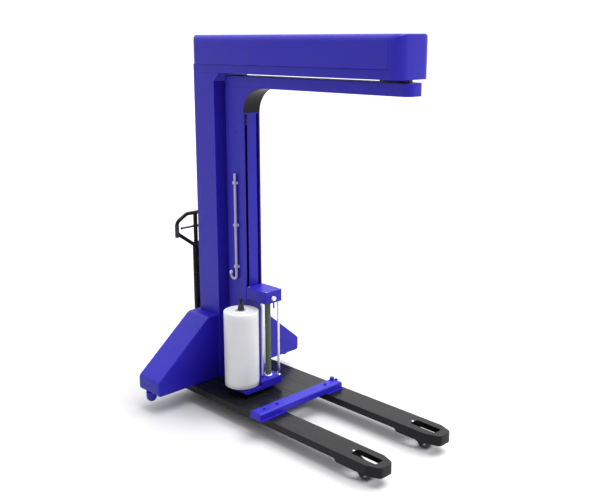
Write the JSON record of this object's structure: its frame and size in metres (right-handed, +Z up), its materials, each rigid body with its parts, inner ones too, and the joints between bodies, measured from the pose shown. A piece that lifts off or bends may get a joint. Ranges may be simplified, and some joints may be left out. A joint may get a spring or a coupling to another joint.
{
  "type": "mobile rotary-arm pallet wrapper",
  "caption": "Pallet stretch wrapper on a hand pallet truck: column and boom carry a rotating arm whose mast lifts a film carriage round a standing load.",
  "frame": {"origin": "centre of the bounding box on the floor", "axes": "+Z up, the forks point to -Y, +X to the right seen from the fork tips' side looking along +Y"},
  "size_m": [1.244, 1.977, 2.368],
  "materials": {
    "blue_paint": "smooth semi-gloss powder coat",
    "black_paint": "gloss black paint",
    "bright_steel": "machined",
    "chrome": "hard chrome",
    "grey_rubber": "ground rubber",
    "belt_rubber": "moulded",
    "film": "stretch film wound tight",
    "board": "wound paper tube",
    "white_plastic": "turned acetal",
    "black_plastic": "moulded",
    "grey_plastic": "moulded conduit",
    "wheel_nylon": "cast polyurethane",
    "grey_paint": "light grey enamel",
    "copper_ring": "turned",
    "red_plastic": "gloss",
    "green_plastic": "gloss"
  },
  "bodies": {
    "chassis": {"fork_left": "black_paint", "fork_right": "black_paint", "platform_plate": "black_paint", "crossbar": "blue_paint", "crossbar_bolts": "blue_paint", "bulkhead": "black_paint", "base_cabinet": "blue_paint", "stabiliser_feet": "blue_paint", "column": "blue_paint", "boom_frame": "blue_paint", "boom_cover": "blue_paint", "hub_housing": "black_paint", "slewing_bearings": "bright_steel", "brush_holder": "black_plastic", "slewing_gearmotor": "grey_paint", "control_box": "grey_paint"},
    "push_rods": {"push_rods": "bright_steel"},
    "load_arm_left": {"load_arm_left": "black_paint"},
    "load_arm_right": {"load_arm_right": "black_paint"},
    "load_roller_left": {"load_roller_left": "wheel_nylon"},
    "load_roller_right": {"load_roller_right": "wheel_nylon"},
    "ram": {"ram_rod": "chrome"},
    "pump": {"pump_body": "black_paint", "pump_pins": "bright_steel"},
    "steer_wheel_left": {"steer_wheel_left": "wheel_nylon"},
    "steer_wheel_right": {"steer_wheel_right": "wheel_nylon"},
    "tiller": {"tiller": "black_paint"},
    "release_lever": {"release_lever": "black_plastic"},
    "slewing_pinion": {"slewing_pinion": "bright_steel"},
    "rotor": {"rotor_hub": "black_paint", "slewing_gear": "bright_steel", "slip_ring": "copper_ring", "rotor_arm": "blue_paint", "rotor_mast": "blue_paint", "corner_gusset": "blue_paint", "mast_strip": "blue_paint", "guide_rails": "chrome", "lift_belt": "belt_rubber", "lift_gearmotor": "grey_paint", "cable_conduit": "grey_plastic", "conduit_clips": "grey_plastic"},
    "top_pulley": {"top_pulley": "bright_steel"},
    "bottom_pulley": {"bottom_pulley": "bright_steel"},
    "carriage": {"lift_trolley": "white_plastic", "carriage_frame": "blue_paint", "carriage_box": "blue_paint", "carriage_base": "blue_paint", "guide_rod": "chrome", "roll_spindle": "black_paint"},
    "tension_knob": {"tension_knob": "white_plastic"},
    "film_roll": {"film_roll": "film", "film_core": "board", "roll_holder": "black_plastic", "roll_cone": "black_plastic"},
    "chrome_roller": {"chrome_roller": "chrome"},
    "rubber_roller": {"rubber_roller": "grey_rubber"},
    "control_door": {"control_door": "grey_paint"},
    "start_button": {"start_button": "green_plastic"},
    "emergency_stop": {"emergency_stop": "red_plastic"},
    "main_switch": {"main_switch": "black_plastic"}
  },
  "joints": [
    {"name": "pallet_lift", "type": "slide", "parent": "ram", "child": "pump", "axis": [0, 0, -1], "range_m": [0, 0.08]},
    {"name": "steering", "type": "hinge", "parent": "chassis", "child": "ram", "pos_m": [0, 0.9085, 0.372], "axis": [0, 0, 1], "range_deg": [-55, 55]},
    {"name": "tiller_tilt", "type": "hinge", "parent": "pump", "child": "tiller", "pos_m": [0, 0.9585, 0.25], "axis": [-1, 0, 0], "range_deg": [0, 75], "stiffness_Nm_per_rad": 40, "springref_deg": -11.46},
    {"name": "release_lever_pull", "type": "hinge", "parent": "tiller", "child": "release_lever", "pos_m": [0, 0.9585, 1.091], "axis": [1, 0, 0], "range_deg": [-18, 18], "stiffness_Nm_per_rad": 2},
    {"name": "steer_wheel_left_spin", "type": "hinge", "parent": "pump", "child": "steer_wheel_left", "pos_m": [-0.053, 0.9085, 0.08], "axis": [1, 0, 0], "continuous": true},
    {"name": "load_arm_left_swing", "type": "hinge", "parent": "chassis", "child": "load_arm_left", "pos_m": [-0.2625, -0.70835, 0.096], "axis": [1, 0, 0], "range_deg": [0, 43.18]},
    {"name": "load_roller_left_spin", "type": "hinge", "parent": "load_arm_left", "child": "load_roller_left", "pos_m": [-0.2625, -0.8475, 0.04], "axis": [1, 0, 0], "continuous": true},
    {"name": "steer_wheel_right_spin", "type": "hinge", "parent": "pump", "child": "steer_wheel_right", "pos_m": [0.053, 0.9085, 0.08], "axis": [1, 0, 0], "continuous": true},
    {"name": "load_arm_right_swing", "type": "hinge", "parent": "chassis", "child": "load_arm_right", "pos_m": [0.2625, -0.70835, 0.096], "axis": [1, 0, 0], "range_deg": [0, 43.18]},
    {"name": "load_roller_right_spin", "type": "hinge", "parent": "load_arm_right", "child": "load_roller_right", "pos_m": [0.2625, -0.8475, 0.04], "axis": [1, 0, 0], "continuous": true},
    {"name": "push_rod_slide", "type": "slide", "parent": "chassis", "child": "push_rods", "axis": [0, -1, 0], "range_m": [0, 0.01]},
    {"name": "arm_rotation", "type": "hinge", "parent": "chassis", "child": "rotor", "pos_m": [0, -0.7755, 2.123], "axis": [0, 0, 1], "continuous": true},
    {"name": "pinion_spin", "type": "hinge", "parent": "chassis", "child": "slewing_pinion", "pos_m": [0, -0.6645, 2.247], "axis": [0, 0, 1], "continuous": true},
    {"name": "carriage_lift", "type": "slide", "parent": "rotor", "child": "carriage", "axis": [0, 0, 1], "range_m": [0, 1.08]},
    {"name": "top_pulley_spin", "type": "hinge", "parent": "rotor", "child": "top_pulley", "pos_m": [0, 0.4635, 1.85], "axis": [-1, 0, 0], "range_deg": [0, 2446.8]},
    {"name": "bottom_pulley_spin", "type": "hinge", "parent": "rotor", "child": "bottom_pulley", "pos_m": [0, 0.4635, 0.225], "axis": [-1, 0, 0], "range_deg": [0, 2446.8]},
    {"name": "film_roll_spin", "type": "hinge", "parent": "carriage", "child": "film_roll", "pos_m": [-0.17804, 0.2845, 0.188], "axis": [0, 0, 1], "continuous": true},
    {"name": "rubber_roller_spin", "type": "hinge", "parent": "carriage", "child": "rubber_roller", "pos_m": [0.001, 0.2335, 0.209], "axis": [0, 0, 1], "continuous": true},
    {"name": "chrome_roller_spin", "type": "hinge", "parent": "carriage", "child": "chrome_roller", "pos_m": [-0.039, 0.2335, 0.209], "axis": [0, 0, 1], "continuous": true},
    {"name": "tension_knob_turn", "type": "hinge", "parent": "carriage", "child": "tension_knob", "pos_m": [-0.013, 0.1695, 0.747], "axis": [0, -1, 0], "range_deg": [-150, 150]},
    {"name": "control_door_swing", "type": "hinge", "parent": "chassis", "child": "control_door", "pos_m": [0.2365, 0.764, 1.27], "axis": [0, 0, 1], "range_deg": [0, 110]},
    {"name": "start_press", "type": "slide", "parent": "control_door", "child": "start_button", "axis": [-1, 0, 0], "range_m": [0, 0.003], "stiffness_N_per_m": 500},
    {"name": "emergency_stop_press", "type": "slide", "parent": "control_door", "child": "emergency_stop", "axis": [-1, 0, 0], "range_m": [0, 0.005], "stiffness_N_per_m": 800},
    {"name": "main_switch_turn", "type": "hinge", "parent": "control_door", "child": "main_switch", "pos_m": [0.2495, 0.668, 1.38], "axis": [1, 0, 0], "range_deg": [-90, 90]}
  ],
  "couplings": [
    {"joint": "load_arm_left_swing", "follows": "pallet_lift", "rad_per_m": 9.4089},
    {"joint": "load_arm_right_swing", "follows": "pallet_lift", "rad_per_m": 9.4089},
    {"joint": "push_rod_slide", "follows": "pallet_lift", "ratio": 0.125},
    {"joint": "pinion_spin", "follows": "arm_rotation", "ratio": -4.2857},
    {"joint": "top_pulley_spin", "follows": "carriage_lift", "rad_per_m": 39.526},
    {"joint": "bottom_pulley_spin", "follows": "carriage_lift", "rad_per_m": 39.526},
    {"joint": "chrome_roller_spin", "follows": "rubber_roller_spin", "ratio": -0.64103}
  ]
}
